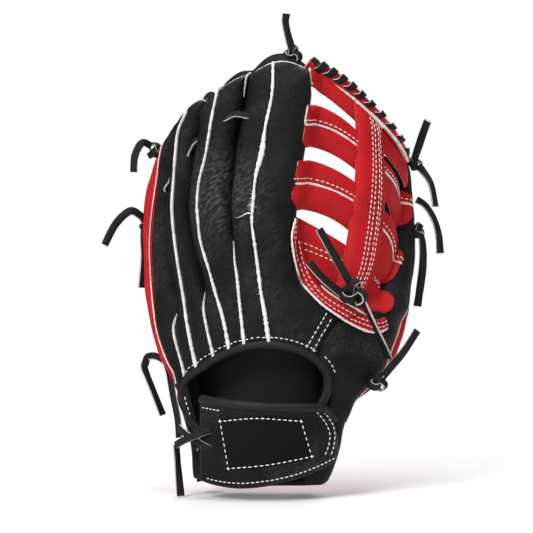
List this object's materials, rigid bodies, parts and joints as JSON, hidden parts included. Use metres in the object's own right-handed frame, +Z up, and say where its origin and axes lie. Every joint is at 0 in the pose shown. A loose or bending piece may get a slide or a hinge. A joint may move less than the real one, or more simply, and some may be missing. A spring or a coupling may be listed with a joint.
{
  "type": "baseball fielding glove",
  "caption": "Left-hand fielding glove: black leather back, red palm and strap web, white welts, rawhide lacing and a laced wrist strap.",
  "frame": {"origin": "centre of the wrist mouth, at the strap's lower edge", "axes": "+Z up along the fingers, back of the glove towards -Y, pocket towards +Y, thumb towards +X"},
  "size_m": [0.2465, 0.1379, 0.3527],
  "materials": {
    "black_leather": "fine-grained black leather, soft sheen",
    "red_leather": "smooth red leather, soft sheen",
    "welt": "raw white welt, frayed",
    "lace": "black rawhide lace with pale cut edges",
    "lining": "dull black lining",
    "felt": "pressed wool felt, hidden"
  },
  "bodies": {
    "hand": {"pinky_back": "black_leather", "ring_back_outer": "black_leather", "ring_back_inner": "black_leather", "middle_back_outer": "black_leather", "middle_back_inner": "black_leather", "index_back_outer": "black_leather", "index_back_inner": "black_leather", "heel_corner_back": "black_leather", "finger_welts": "welt", "fork_welts": "welt", "palm_shell": "red_leather", "palm_lining": "lining", "palm_felt": "felt", "finger_felts": "felt", "pinky_lining": "lining", "ring_lining": "lining", "middle_lining": "lining", "index_lining": "lining", "wrist_binding": "black_leather", "finger_tip_lace": "lace", "finger_ties": "lace", "finger_knots": "lace", "pinky_heel_lace": "lace", "tail_index_tip": "lace", "tail_pinky_side_upper": "lace", "tail_pinky_side_lower": "lace", "tail_pinky_heel": "lace"},
    "thumb_side": {"thumb_back": "black_leather", "thumb_palm": "red_leather", "thumb_lining": "lining", "thumb_felt": "felt", "thumb_edge_welt": "welt", "thumb_binding": "black_leather", "web_top_rail": "red_leather", "web_centre_bar": "red_leather", "web_strap_1": "red_leather", "web_strap_2": "red_leather", "web_strap_3": "red_leather", "web_strap_4": "red_leather", "web_base": "red_leather", "web_top_lace": "lace", "web_knot": "lace", "thumb_knots": "lace", "tail_web_up": "lace", "tail_web_loop": "lace", "tail_web_down": "lace", "tail_thumb_tip_up": "lace", "tail_thumb_tip_out": "lace", "tail_thumb_tip_thin": "lace", "tail_thumb_side": "lace", "tail_thumb_heel": "lace"},
    "strap": {"wrist_strap": "black_leather", "strap_lining": "lining", "strap_patch": "black_leather", "strap_lace": "lace", "tail_strap": "lace"}
  },
  "joints": [
    {"name": "pocket_close", "type": "hinge", "parent": "hand", "child": "thumb_side", "pos_m": [0.03762, 0.029, 0.15], "axis": [-0.0756, 0, 0.9971], "range_deg": [0, 50], "stiffness_Nm_per_rad": 4},
    {"name": "wrist_strap_open", "type": "hinge", "parent": "hand", "child": "strap", "pos_m": [0.048, -0.0093, 0.03], "axis": [0, 0, 1], "range_deg": [0, 25], "stiffness_Nm_per_rad": 0.6}
  ]
}
